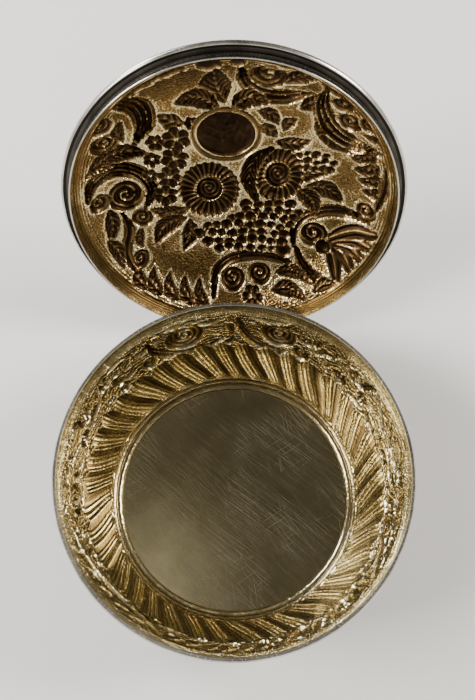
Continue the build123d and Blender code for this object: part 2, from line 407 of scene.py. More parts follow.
def wall_forms(field, degree):
    """The scroll band of the wall. Places are (degrees round from the back, mm from the rim)."""
    def at(places):
        return [(turn * degree, down) for turn, down in places]

    def put(form, turn, *shape):
        form(field, turn * degree, *shape)

    def put_leaf(turn, down, tip_turn, tip_down, *shape):
        leaf(field, (turn * degree, down), (tip_turn * degree, tip_down), *shape)

    ribbon(field, at([(1.5, 6), (3.5, 12), (9, 16.6), (19, 18.4), (30, 17.2)]), [0.4, 1.3, 1.6, 1.4, 0.3], 1,
           reeds=3)
    put(coil, 17, 11.4, 4.6, 1, 1.35, -1)
    put_leaf(359, 16.6, 356, 8.4, 3, 0.8, 0.2, 8)
    ribbon(field, at([(6, 5.2), (13, 6.2), (21, 5.2)]), [0.4, 1.1, 0.3], 0.9, reeds=2)
    put(coil, 27, 15.6, 2.4, 0.9, 1, -1)
    put_leaf(24, 10.6, 34, 5.4, 3, 0.9, 0.2)
    put_leaf(14, 8.6, 22, 5.2, 2.4, 0.8, 0.1)
    put_leaf(32, 13, 43, 9, 2.8, 0.8, -0.15)
    scroll(field, at([(73, 12.5), (66, 8.4), (60, 5.6)]), 51 * degree, 8.4, 2, 1, 1.1, 1)
    put(coil, 45, 14.6, 2.3, 0.9, 1)
    put(rosette, 57, 13.6, 2, 6, 0)
    put_leaf(61, 14.4, 71, 16.4, 2.6, 0.8, 0.2)
    put_leaf(49, 18, 61, 17.4, 2.2, 0.7, -0.15)
    scroll(field, at([(72, 5.4), (77, 11), (83, 11.4)]), 89 * degree, 7.6, 2, -1, 1.1, 1)
    put(coil, 80, 16, 2, 0.8, 0.9)
    put_leaf(84, 14.4, 93, 11.6, 2.6, 0.8, 0.1)
    scroll(field, at([(130, 5.4), (124, 10), (114, 14), (107, 17.6)]), 99 * degree, 15, 2.5, -1, 1.3, 1.1)
    put_leaf(103, 11, 97, 5.2, 3, 0.8, -0.2)
    put_leaf(109, 10, 113, 5, 2.8, 0.8, 0.2)
    put(rosette, 119, 16.6, 2, 5, 10)
    put_leaf(118, 8, 124, 5, 2.2, 0.7, 0.15)
    scroll(field, at([(131, 5.6), (129, 11), (131, 16)]), 138 * degree, 13.4, 2.8, 1, 1.3, 1.1)
    scroll(field, at([(163, 5.6), (161, 11), (156, 16)]), 148 * degree, 13, 2.6, -1, 1.3, 1.1)
    put_leaf(141, 9, 139, 5, 2.4, 0.8, 0.2)
    put_leaf(149, 8, 153, 5, 2.4, 0.8, -0.2)
    for turn in (167, 173, 179, 185, 191, 197):
        put_leaf(turn, 12.4, turn + 1.5, 5, 3, 0.9, 0.12)
    for turn in (170, 181, 192):
        put(rosette, turn, 15.6, 1.9, 5, turn)
    ribbon(field, at([(203, 5.4), (207, 10), (213, 13.4), (222, 14.8), (232, 13.4), (240, 11), (250, 8.4)]),
           [0.3, 1.2, 1.4, 1.2, 0.3], 1.1, reeds=3)
    for turn in (211, 218, 225, 232, 239):
        put_leaf(turn, 11.6, turn + 2, 5.2, 2.7, 0.9, 0.2)
    put(coil, 202, 15.4, 2.2, 0.9, 1)
    scroll(field, at([(243, 13.5), (248, 17.6), (257, 19)]), 262 * degree, 13.8, 3, -1, 1.3, 1.1)
    put(rosette, 258, 6.2, 1.8, 5, 0)
    put_leaf(264, 8, 275, 5.4, 2.6, 0.9, 0.2)
    put_leaf(271, 11, 280, 15, 2.6, 0.8, 0.2)
    put(rosette, 276, 9.2, 1.7, 5, 0)
    scroll(field, at([(282, 6), (286, 5.2)]), 293 * degree, 8.6, 2, -1, 1, 1)
    put(coil, 286, 13.6, 2.2, 0.9, 1)
    put_leaf(291, 15, 302, 12.6, 2.6, 0.8, -0.2)
    put_leaf(280, 17.4, 291, 18, 2.2, 0.7, 0.2)
    put(rosette, 305, 8.6, 2.2, 6, 0)
    put_leaf(308, 11, 319, 14, 2.7, 0.8, 0.2)
    put_leaf(308, 5.6, 317, 6, 2.2, 0.7, -0.1)
    put(coil, 312, 16.6, 1.8, 0.8, 0.9)
    put_leaf(320, 10, 328, 5.6, 2.6, 0.8, 0.2)
    put(coil, 325, 15.4, 2.2, 0.9, 1, -1)
    ribbon(field, at([(326, 7), (329, 13.4), (337, 17.6), (347, 18.2), (357, 14.6)]), [0.4, 1.4, 1.7, 1.5, 0.3],
           1, reeds=3)
    put(coil, 341, 11.2, 5, 1, 1.35, 1)
    ribbon(field, at([(333, 5.2), (341, 6), (350, 5.2)]), [0.4, 1.1, 0.3], 0.9, reeds=2)
    put_leaf(346, 7.6, 357, 5.4, 2.6, 0.8, 0.1)
    put_leaf(354, 17.8, 361, 14, 2.2, 0.8, 0.1)


def flute_forms(field, degree, top, bottom):
    """The slanting lobes below: each has a rounded head, bends over towards its foot and carries
    fine lines, which are left to the material. Two lines run round under them. A hand-made
    wall is uneven, so width, head and strength wander slowly round it."""
    lobes, lean = 38, 10.0
    turn, down = field.x / degree, field.y
    share = np.clip((down - top) / (bottom - top), 0, 1)
    wobble = 0.10 * np.sin(np.radians(turn * 5)) + 0.08 * np.sin(np.radians(turn * 13 + 40))
    phase = (turn - lean * share ** 1.6) * lobes / 360 + wobble
    lobe = np.abs(np.sin(math.pi * phase))
    head = top + 2.2 * (1 - lobe ** 0.6) + 0.5 * np.sin(np.radians(turn * 7))
    edge = np.minimum(down - head, bottom - down)
    strength = 1 + 0.35 * np.sin(np.radians(turn * 3 + 20)) * np.sin(np.radians(turn * 11))
    belly = (0.3 + 0.36 * np.sin(math.pi * np.clip(share * 0.85 + 0.1, 0, 1))) * strength
    body = belly * (lobe ** 0.6 - 0.55)
    inside = ease(edge / 0.8 + 0.4)
    field.height = field.height * (1 - inside) + body * inside
    field.height -= 0.22 * np.exp(-((down - head) / 0.35) ** 2) * (share < 0.3)
    field.ground *= 1 - inside
    # Painted light and shade: each lobe is painted lighter, with stronger fine lines, on its lit side, and
    # darker on the other side
    bright_side = np.cos(math.tau * (phase - 0.3))
    lined = inside * ease((bottom - down) / 2)
    field.painted_light_on_tarnish += 0.42 * bright_side * lined
    field.wave = np.stack([np.cos(math.tau * phase), np.sin(math.tau * phase),
                           lined * (0.7 + 0.5 * bright_side)], 1)
    foot = ease((down - bottom) / 0.5)
    field.height += 0.45 * foot
    for line in (bottom + 1.0, bottom + 2.2):
        field.height -= 0.42 * np.exp(-((down - line) / 0.26) ** 2)
    field.ground *= 1 - foot


def grid_cells(field, cell=0.5):
    """The row and column of a grid of small cells, in mm, that each point of the sheet lies in."""
    return tuple(np.floor((place - place.min()) / cell).astype(int) for place in (field.y, field.x))


def soften(field, reach, cell=0.5):
    """The relief blurred over a reach in mm, to tell a hollow from its surroundings."""
    rows, columns = grid_cells(field, cell)
    total = np.zeros((rows.max() + 1, columns.max() + 1))
    weight = np.zeros_like(total)
    np.add.at(total, (rows, columns), field.height)
    np.add.at(weight, (rows, columns), 1)
    for _ in range(int((reach / cell) ** 2)):
        for grid in (total, weight):
            for axis in (0, 1):
                grid[:] = 0.5 * grid + 0.25 * (np.roll(grid, 1, axis) + np.roll(grid, -1, axis))
    return (total / np.maximum(weight, 1e-6))[rows, columns]


def crests(field):
    """The highest relief within about 1 mm of each point."""
    rows, columns = grid_cells(field)
    top = np.full((rows.max() + 1, columns.max() + 1), -1.0)
    np.maximum.at(top, (rows, columns), field.height)
    for axis in (0, 1):
        top = np.maximum(top, np.maximum(np.roll(top, 1, axis), np.roll(top, -1, axis)))
    for axis in (0, 1):
        top = 0.5 * top + 0.25 * (np.roll(top, 1, axis) + np.roll(top, -1, axis))
    return top[rows, columns]


def relief_mesh(piece, stations, field_of):
    """Move each point of a spun sheet out by the relief at its place, and keep what the
    material needs: how deep a point lies below its neighbours, where it is matted, which skin it
    is on, its place in the wave of fine lines, and its place on the sheet laid flat."""
    data = piece.data
    count = len(data.vertices)
    place = np.empty(count * 3)
    data.vertices.foreach_get("co", place)
    place = place.reshape(-1, 3) / MM
    radius = np.hypot(place[:, 0], place[:, 1])
    outline = np.array([s[:2] for s in stations])
    nearest = np.empty(count, int)
    chunk = 20000
    for start in range(0, count, chunk):
        part = slice(start, start + chunk)
        aside, above = radius[part, None] - outline[:, 0], place[part, 2, None] - outline[:, 1]
        nearest[part] = (aside ** 2 + above ** 2).argmin(1)
    info = np.array([s[2:] for s in stations], float)[nearest]
    down, normal_out, normal_up, inner = info.T
    chased = down > PLAIN + 1
    field = field_of(place, radius, down)
    # Outside, the sheet keeps its thickness over a steep edge pressed from the inside
    outer_height = np.maximum(field.height, crests(field) - 0.5 * SHEET)
    height = np.where(inner > 0.5, field.height, outer_height) * chased
    flat = np.maximum(radius, 1e-6)
    place[:, 0] += height * normal_out * place[:, 0] / flat
    place[:, 1] += height * normal_out * place[:, 1] / flat
    place[:, 2] += height * normal_up
    data.vertices.foreach_set("co", (place * MM).ravel())
    # Tarnish and painted shade gather in broad and in narrow hollows, less the painted light; outside, the
    # whole ground between forms is low, and tarnish there and painted shade down the forms' flanks darken it
    inside_hollow = field.height - 0.3 * field.soft + 0.8 * (field.height - field.fine) - field.painted_light_on_tarnish
    outside_hollow = 0.35 * field.height + 0.9 * (field.height - field.soft)
    hollow = np.where(inner > 0.5, inside_hollow, outside_hollow)
    for name, values in (("hollow", hollow), ("matting", field.ground * chased), ("inside", inner)):
        layer = data.attributes.new(name, "FLOAT", "POINT")
        layer.data.foreach_set("value", values.astype(np.float32))
    for name, values in (("wave", field.wave), ("unrolled", field.unrolled * MM)):
        layer = data.attributes.new(name, "FLOAT_VECTOR", "POINT")
        layer.data.foreach_set("vector", values.astype(np.float32).ravel())
    data.update()


def fine_lines(add, count):
    """Chased lines too fine for the mesh. Each point holds its place in a wider wave as a cosine
    and a sine, and how strong the lines are there; the shader splits the wave into lines."""
    wave = add("Attribute", attribute_name="wave")
    parts = add("SeparateXYZ", {"Vector": (wave, "Vector")})
    angle = maths(add, "ARCTAN2", (parts, "Y"), (parts, "X"))
    line = maths(add, "COSINE", maths(add, "MULTIPLY", angle, count))
    return maths(add, "MULTIPLY", line, (parts, "Z"))


def chased_gilt(name, tones, lines, curls, deep, grime, line_wear_and_painted_highlight):
    """Fire gilding on chased silver. The tools' ridges are worn bright, with painted highlight, the hollows
    hold brown tarnish and painted shade, and the ground is matted with a fine punch. Tones run from bare
    gilding to full tarnish and painted shade; lines is how many fine lines one wave splits into; curls is how
    strongly the ground is also worked over with fine curling lines; deep is the hollow in mm that is at full
    tarnish and painted shade, grime how much lies on the ground, and the last argument how far fine lines are
    painted lighter: worn ridges, and on the lobes' lit side painted highlight."""
    curl_gap, punch_mark = 1.15 * MM, 0.5 * MM  # coarser than the real ones, so that they show
    wave_scale = 0.314  # the wave texture's scale for one line in each metre
    material, add, shader = new_material(name)
    place = add("TexCoord")
    hollow = add("Attribute", attribute_name="hollow")
    matting = add("Attribute", attribute_name="matting")
    cover = remap(add, (matting, "Fac"), end=(0.16, 1))
    unrolled = add("Attribute", attribute_name="unrolled")
    flow = add("TexWave", {"Vector": (unrolled, "Vector"), "Scale": wave_scale / curl_gap, "Distortion": 17.0,
                           "Detail": 1.0, "Detail Scale": 0.6}, bands_direction="Z")
    blows = add("TexVoronoi", {"Vector": (place, "Object"), "Scale": 1 / punch_mark, "Randomness": 1.0})
    worked = maths(add, "ADD", blows, maths(add, "MULTIPLY", (flow, "Fac"), curls))
    ground = maths(add, "MULTIPLY", worked, cover)
    drawn = maths(add, "MULTIPLY_ADD", fine_lines(add, lines), 0.35, ground)
    # Painted shade with the tarnish: the deeper a point lies in a hollow, the darker its tone
    depth = remap(add, (hollow, "Fac"), (-0.3, deep))
    wander = remap(add, noise(add, place, 7, 6.0, 0.65), (0.3, 0.7), (-0.15, 0.1))
    tarnish_and_painted_shade = maths(add, "ADD", depth, wander)
    grime_tarnish_and_painted_shade = maths(add, "MULTIPLY_ADD", cover, grime, tarnish_and_painted_shade)
    # Fine lines painted lighter: worn ridges, and on the lobes' lit side painted highlight
    painted_light_on_tarnish = maths(add, "MULTIPLY_ADD", drawn, -line_wear_and_painted_highlight, grime_tarnish_and_painted_shade)
    tone = ramp(add, painted_light_on_tarnish, tones)
    bump = add("Bump", {"Height": drawn, "Strength": 1.0, "Distance": 0.16 * MM})
    haze = remap(add, tarnish_and_painted_shade, end=(0.14, 0.4))
    finish_metal(shader, tone.outputs["Color"], haze, bump)
    return material


def chased_silver():
    """The outside of the chased sheet: polished silver with black tarnish in the low ground and painted shade
    down the forms' flanks, so the ornament stands out bright. The ground's punch marks are drawn 0.42 mm apart."""
    material, add, shader = new_material("chased silver, oxidised ground")
    place = add("TexCoord")
    hollow = add("Attribute", attribute_name="hollow")
    matting = add("Attribute", attribute_name="matting")
    depth = remap(add, (hollow, "Fac"), (0.85, -0.4))
    # Black tarnish in the low ground, and painted shade down the forms' flanks
    tarnish_and_painted_shade = maths(add, "ADD", depth, remap(add, noise(add, place, 6, 5.0), (0.3, 0.7), (-0.12, 0.12)))
    tone = ramp(add, tarnish_and_painted_shade, [(0.0, "#e2dfd8"), (0.35, "#b7b3aa"), (0.6, "#6b665e"), (0.9, "#2b2825")])
    blows = add("TexVoronoi", {"Vector": (place, "Object"), "Scale": 1 / (0.42 * MM)})
    grit = maths(add, "MULTIPLY", blows, (matting, "Fac"))
    bump = add("Bump", {"Height": grit, "Strength": 0.7, "Distance": 0.1 * MM})
    haze = remap(add, tarnish_and_painted_shade, end=(0.16, 0.5))
    finish_metal(shader, tone.outputs["Color"], haze, bump)
    return material


def skin(points, rows, inner):
    """Stations of one skin of the sheet: radius, height, mm along it, outward normal, side."""
    line = smooth_line(points, count=400)
    run = np.concatenate([[0], np.cumsum(np.hypot(*np.diff(line, axis=0).T))])
    even = np.linspace(0, run[-1], rows)
    radius = np.interp(even, run, line[:, 0])
    height = np.interp(even, run, line[:, 1])
    slope = np.gradient(np.stack([radius, height], 1), axis=0)
    slope /= np.hypot(slope[:, 0], slope[:, 1])[:, None]
    return [(r, z, d, -s[1], s[0], inner) for r, z, d, s in zip(radius, height, even, slope)]


def outer_skin(inside):
    """The outer skin: every other station of the inner one, moved out by the sheet."""
    return [(s[0] + SHEET * s[3], s[1] + SHEET * s[4], s[2], s[3], s[4], 0) for s in inside[::2]]


def plain(radius, height, inner=0):
    """A station on a seat or an edge, where the sheet carries no relief."""
    return (radius, height, PLAIN, 0, 0, inner)


wall_outer, wall_bottom, wall_top = sizes("base_chased_wall")
rim_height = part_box("base_rim_wire")[1][2] / MM
disc_radius = 28.0
# Inside of the wall as (radius, depth below the rim), from the top down, as in the solid
wall_line = [(38.2, 3.6), (37.6, 9.0), (35.6, 17.0), (34.0, 21.0), (30.2, 27.6), (28.0, 29.4)]
collar_radius = 39.0
wall_inside = skin([(r, rim_height - d) for r, d in wall_line], 96, 1)
wall_outside = [s for s in outer_skin(wall_inside)[1:] if wall_bottom + 0.25 < s[1] < wall_top - SHEET - 0.1]
wall_steps = 640

seat = [plain(collar_radius, wall_top, inner=1), plain(wall_outer, wall_top),
        plain(wall_outer, wall_top - SHEET)]
toe = [plain(plate_radius - 0.1, wall_bottom), plain(disc_radius, wall_bottom)]
wall_stations = list(reversed(wall_inside)) + seat + wall_outside + toe
chased_wall = spin_outline("chased_wall", [s[:2] for s in wall_stations], wall_steps)

wall_middle_radius = 37.0
wall_start = 4.4  # mm from the rim to the first chased row
per_degree = math.radians(1) * wall_middle_radius  # mm round the wall


def wall_field(place, radius, down):
    """The relief of the wall, laid out flat: x runs round from the back, y down the wall."""
    turn = np.degrees(np.arctan2(place[:, 0], place[:, 1])) % 360
    field = new_field(turn * per_degree, down + wall_start)
    wall_forms(field, per_degree)
    fill_ground(field, low=4.8, high=18.6, tries=900, size=0.9)
    flute_forms(field, per_degree, top=17.6, bottom=30.0)
    field.height *= ease(down) * ease((29 - down) / 1.5)
    field.soft, field.fine = soften(field, reach=2.0), soften(field, reach=0.9)
    around = np.radians(turn)
    # Painted light: the near side is painted lighter and the far side darker
    field.painted_light_on_tarnish -= 0.2 * np.cos(around)
    field.unrolled = np.stack([wall_middle_radius * np.sin(around), wall_middle_radius * np.cos(around),
                               field.y], 1)
    return field


chased_corner = 85  # degrees: only the sheet's own edges stay sharp
relief_mesh(chased_wall, wall_stations, wall_field)
shade_turned(chased_wall, chased_corner)
# Tones from bare gilding on the ridges, with painted highlight, to tarnish and painted shade in the hollows
wall_tones = [(0.0, "#fff3cc"), (0.1, "#d6c99e"), (0.24, "#ad9f76"), (0.42, "#8a7a55"), (0.65, "#554735"),
              (1.0, "#2b231a")]
wall_gilding = chased_gilt("chased gilding of the wall", wall_tones, lines=5, curls=1.0, deep=1.3, grime=0.68,
                           line_wear_and_painted_highlight=0.55)
silvering = chased_silver()


def dress_sheet(piece, gilding):
    """Gilding inside, silver outside, told apart by which skin a face belongs to."""
    dress(piece, gilding, silvering)
    inner = np.empty(len(piece.data.vertices), np.float32)
    piece.data.attributes["inside"].data.foreach_get("value", inner)
    for face in piece.data.polygons:
        face.material_index = 0 if min(inner[v] for v in face.vertices) > 0.5 else 1


dress_sheet(chased_wall, wall_gilding)
chased_wall.data.transform(base_place)
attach(chased_wall, "base")
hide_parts("base_chased_wall")


# --- Collar and rim wire ---------------------------------------------------------------------
# A plain band of sheet stands on the wall and takes the lid's flange. A drawn wire is soldered
# round its top, and the two edges together make the bright double line of the rim.

def plain_gilt():
    """Burnished gilding with no chasing: smooth, slightly uneven, with polishing hairlines
    that run round the band."""
    material, add, shader = new_material("burnished plain gilding")
    place = add("TexCoord")
    tone = ramp(add, noise(add, place, 8, 5.0), [(0.3, "#aea383"), (0.6, "#d2c8a8")])
    flat = add("Mapping", {"Vector": (place, "Object"), "Scale": (1 / (6 * MM), 1 / (6 * MM), 1 / (0.2 * MM))})
    hairs = add("TexNoise", {"Vector": flat, "Scale": 1.0, "Detail": 3.0})
    haze = remap(add, hairs, end=(0.14, 0.34))
    bump = add("Bump", {"Height": hairs, "Strength": 0.25, "Distance": 0.02 * MM})
    finish_metal(shader, tone.outputs["Color"], haze, bump)
    return material


band_gilt = plain_gilt()
collar_outer, collar_bottom, collar_top = sizes("base_collar")
edge_round = 0.08  # mm worn off a band's inner corner
collar_outline = [(collar_radius, collar_bottom), (collar_outer, collar_bottom), (collar_outer, collar_top)]
collar_outline += [(collar_radius + edge_round, collar_top), (collar_radius, collar_top - edge_round)]
collar = turned("collar", collar_outline, silver, band_gilt)


def faces_axis(centre, normal):
    """Whether a face of a band looks in towards the contents."""
    return normal.x * centre.x + normal.y * centre.y < -1


paint_faces(collar, faces_axis, 1)
collar.data.transform(base_place)
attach(collar, "base")
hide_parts("base_collar")

rim_radius, rim_bottom, rim_top = sizes("base_rim_wire")
rim_wire = turned("rim_wire", half_round(collar_outer, rim_radius, rim_bottom, rim_top), silver)
rim_wire.data.transform(base_place)
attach(rim_wire, "base")
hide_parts("base_rim_wire")


# --- Lid: chased dome ------------------------------------------------------------------------
# One sheet, raised to a low dome and chased from both sides with fruit, flowers and scrolls.
# It is modelled level, lip down, and then laid in its resting place behind the base.

flange_depth = 2.8
# The lid's joint turns it from its place at rest to level, so its range tells how far it leans
lean = 180 - frame["record"]["behaviour"]["joints"][0]["range_deg"][1]
flange_low, flange_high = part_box("lid_flange")
lid_turn = Matrix.Rotation(math.radians(lean - 180), 4, "X")
ring_middle = (Vector(flange_low) + Vector(flange_high)) / 2
lid_place = Matrix.Translation(ring_middle) @ lid_turn @ Matrix.Translation((0, 0, flange_depth * MM / 2))


def whorl(field, x, y, radius, core, ribs, height, squeeze=1.0, turn=0.0):
    """A round flower of many narrow petals about a coiled heart."""
    where = near(field, x, y, radius + 1)
    dx, dy = field.x[where] - x, (field.y[where] - y) / squeeze
    distance, angle = np.hypot(dx, dy), np.arctan2(dy, dx) - math.radians(turn)
    share = np.clip((distance - core) / (radius - core), 0, 1)
    ribbing = 0.74 + 0.26 * np.cos(ribs * angle + 1.6 * share)
    petals = height * (0.35 + 0.65 * np.sin(math.pi * share) ** 0.7) * ribbing
    winding = 0.75 * height * (1 + 0.3 * np.cos(math.tau * (distance / 1.05 - angle / math.tau)))
    heart = ease((core - distance) / 0.5 + 0.5)
    press(field, where, radius * (0.97 + 0.03 * np.cos(ribs * angle)) - distance,
          petals * (1 - heart) + winding * heart)
    field.height[where] -= 0.3 * np.exp(-((distance - core) / 0.3) ** 2)


def ringed_fruit(field, x, y, across, up, height):
    """The big fruit in the middle, in a ring."""
    ring_width, ring_height = 1.3, 0.35
    where = near(field, x, y, max(across, up) + 2)
    dx, dy = (field.x[where] - x) / across, (field.y[where] - y) / up
    distance = np.hypot(dx, dy)
    edge = (1 - distance) * min(across, up)
    press(field, where, edge + ring_width, ring_height)
    body = height * np.sqrt(np.clip(1 - distance ** 2 * 0.92, 0, 1))
    # Shallow, then finer and finer dimples, as a punch leaves them
    dimple = 0.4 * np.sin(5.1 * dx + 1.0) * np.cos(4.3 * dy + 2 * dx)
    dimple += 0.2 * np.sin(13 * dx + 3 * dy) * np.sin(11 * dy)
    dimple += 0.14 * np.sin(23 * dx + 9 * dy) * np.sin(19 * dy - 7 * dx)
    dimple *= np.clip(1.2 - distance, 0, 1)
    press(field, where, edge, body + dimple, line=0.4)


def border_forms(field):
    """The scrolls and shells round the edge. Places are mm right and up, seen from inside."""
    # Top right: a volute with leaves, then a broad C scroll with small volutes inside it
    ribbon(field, [(1.8, 33.6), (2.4, 28.6), (6.6, 25.2), (12.6, 24.8), (17.6, 26.8)], [0.6, 1.7, 2.3, 2, 0.4],
           1.4, reeds=3)
    coil(field, 7.6, 31, 4.3, 1.5, 1.7, -1, 40)
    leaf(field, (11.2, 28.6), (18.6, 33), 5.4, 1.2, 0.15, 6)
    leaf(field, (9.8, 35), (16, 35.4), 2.6, 0.9, 0.1, 3)
    leaf(field, (15, 21.4), (19.2, 27.4), 4.8, 1.1, -0.15, 5)
    leaf(field, (18.8, 31.6), (23.8, 27.6), 4.2, 1, 0.1, 4)
    ribbon(field, [(20, 29), (19.8, 22.6), (22.2, 17.2), (26.6, 13.8), (33.2, 13.4)], [0.6, 2.1, 3, 2.7, 0.8],
           1.5, reeds=4)
    coil(field, 26, 20.2, 2.9, 1.2, 1.3, 1)
    coil(field, 23.9, 25.4, 2.5, 1.1, 1.2, -1)
    coil(field, 30.2, 21.4, 2.5, 1.1, 1.2, 1)
    leaf(field, (29.4, 17.4), (34.6, 16), 2.8, 0.9, 0.1, 3)
    ribbon(field, [(18.6, 19.6), (19.6, 15.6), (23, 12), (28, 10.4)], [0.3, 0.9, 1, 0.3], 0.8, veins=9)
    # Right: a drop of acanthus leaves
    for x, y in ((27.2, 9.4), (28.4, 6.4), (29.6, 3.6), (30.8, 0.8)):
        leaf(field, (x + 5.2, y + 3.4), (x, y), 3.9, 1.1, 0.24, 5)
    ribbon(field, [(35, 9.4), (35.4, 3), (34.2, -3.6)], [0.5, 1.3, 0.4], 0.9, reeds=2)
    # Lower right: the big shell, its flutes spreading from a ball
    coil(field, 32.2, -4.6, 2.4, 1, 1.2, 1)
    ribbon(field, [(15.4, -18.6), (15.2, -12.8), (18.2, -9), (23.4, -7), (29, -6.8), (33, -7.2)],
           [0.5, 1.8, 2.1, 1.7, 0.5], 1.3, reeds=3)
    for x, y in ((26.4, -24), (30.2, -21.2), (33, -17.6), (34.4, -13.6), (34.6, -9.8)):
        ribbon(field, [(22.4, -16.6), ((22.4 + x) / 2 + 0.8, (y - 16.6) / 2 + 1.6), (x, y)],
               [0.7, 1.7, 1.9, 1.1], 1.3, reeds=1)
    ribbon(field, [(16, -18.6), (17.8, -23), (22.4, -26), (28.4, -25)], [0.6, 1.6, 1.9, 0.5], 1.2, reeds=3)
    coil(field, 20.2, -14.2, 3.7, 1.4, 1.6, -1)
    boss(field, 22.8, -17.6, 1.9, 1.3)
    # Bottom: a C scroll over two volutes, with leaves to its right
    ribbon(field, [(-5.6, -32.4), (-4.8, -26.6), (-0.8, -22.8), (5.6, -21.4), (12, -22.4), (18.6, -25.8)],
           [0.6, 1.6, 1.8, 1.6, 0.4], 1.2, reeds=3)
    coil(field, -0.4, -28.2, 3.3, 1.2, 1.3, -1)
    coil(field, 6.6, -26.8, 3.2, 1.2, 1.3, 1)
    rosette(field, 4.8, -32.4, 2.8, 6, 0, 0.9)
    boss(field, 12.6, -19.8, 2.2, 0.9)
    boss(field, 9.6, -19.4, 1.2, 0.7)
    leaf(field, (10.6, -26.4), (20.6, -27.2), 3.8, 1.1, 0.15, 8)
    leaf(field, (9.8, -30.6), (19.6, -31), 4, 1.1, 0.15, 8)
    leaf(field, (20.8, -28.6), (27.4, -25.4), 3.2, 0.9, 0.15, 6)
    for x, y in ((-23.4, -24), (-19.8, -26.2), (-15.8, -28.2), (-11.8, -29.8), (-8, -31)):
        leaf(field, (x + 1.6, y - 3.6), (x - 1.2, y + 3.6), 3.6, 1, 0.22, 5)
    # Left, below: a drop of small volutes and leaves
    coil(field, -23.2, -9, 2.8, 1.1, 1.2, 1)
    coil(field, -24.4, -20.2, 2.5, 1, 1.1, -1)
    ribbon(field, [(-28, -7), (-26.4, -12.2), (-27.6, -17.4), (-25.6, -22.4)], [0.5, 1.5, 1.6, 0.4], 1.1,
           reeds=2)
    leaf(field, (-31, -4.8), (-31.2, -14), 4, 1.1, 0.1)
    leaf(field, (-31.8, -12.6), (-28.4, -21.4), 3.4, 1, 0.1)
    leaf(field, (-23.4, -12), (-23.4, -18), 3, 0.9, -0.15, 5)
    # Left: the big volute under a reeded sweep, and a long leaf over it
    ribbon(field, [(-35, -0.6), (-33.4, 4), (-28.6, 5.8), (-23, 3.8), (-20.2, -1.4), (-22.2, -6.6)],
           [0.5, 1.8, 2.3, 2.3, 1.8, 0.5], 1.5, reeds=4)
    coil(field, -26.6, -2, 4.4, 1.5, 1.7, 1, 90)
    coil(field, -32.6, -2, 2.5, 1, 1.1, -1)
    leaf(field, (-34.8, 6.6), (-19.8, 9.2), 6.2, 1.4, 0.16, 10)
    # Left, above: a crescent round two volutes
    ribbon(field, [(-30.6, 25.4), (-25.8, 26.6), (-21.4, 23.2), (-20.6, 17.6), (-23.4, 12.2)],
           [0.6, 2.1, 2.9, 2.5, 0.5], 1.5, reeds=4)
    coil(field, -29.6, 14.6, 3.2, 1.2, 1.3, -1)
    coil(field, -30, 20.6, 2.9, 1.2, 1.3, 1)
    leaf(field, (-25.8, 13.2), (-25.4, 20.4), 3.4, 1, 0.15)
    # Top left: leaves that run along the edge
    for x, y in ((-24.4, 27.2), (-20.8, 29.4), (-17, 31.4), (-13.2, 33)):
        leaf(field, (x - 2.6, y - 0.8), (x + 3.4, y + 1.2), 3.4, 1, 0.24, 5)
    boss(field, -5.2, 35.4, 2.7, 1)
    boss(field, 0.8, 36, 1.7, 0.7)


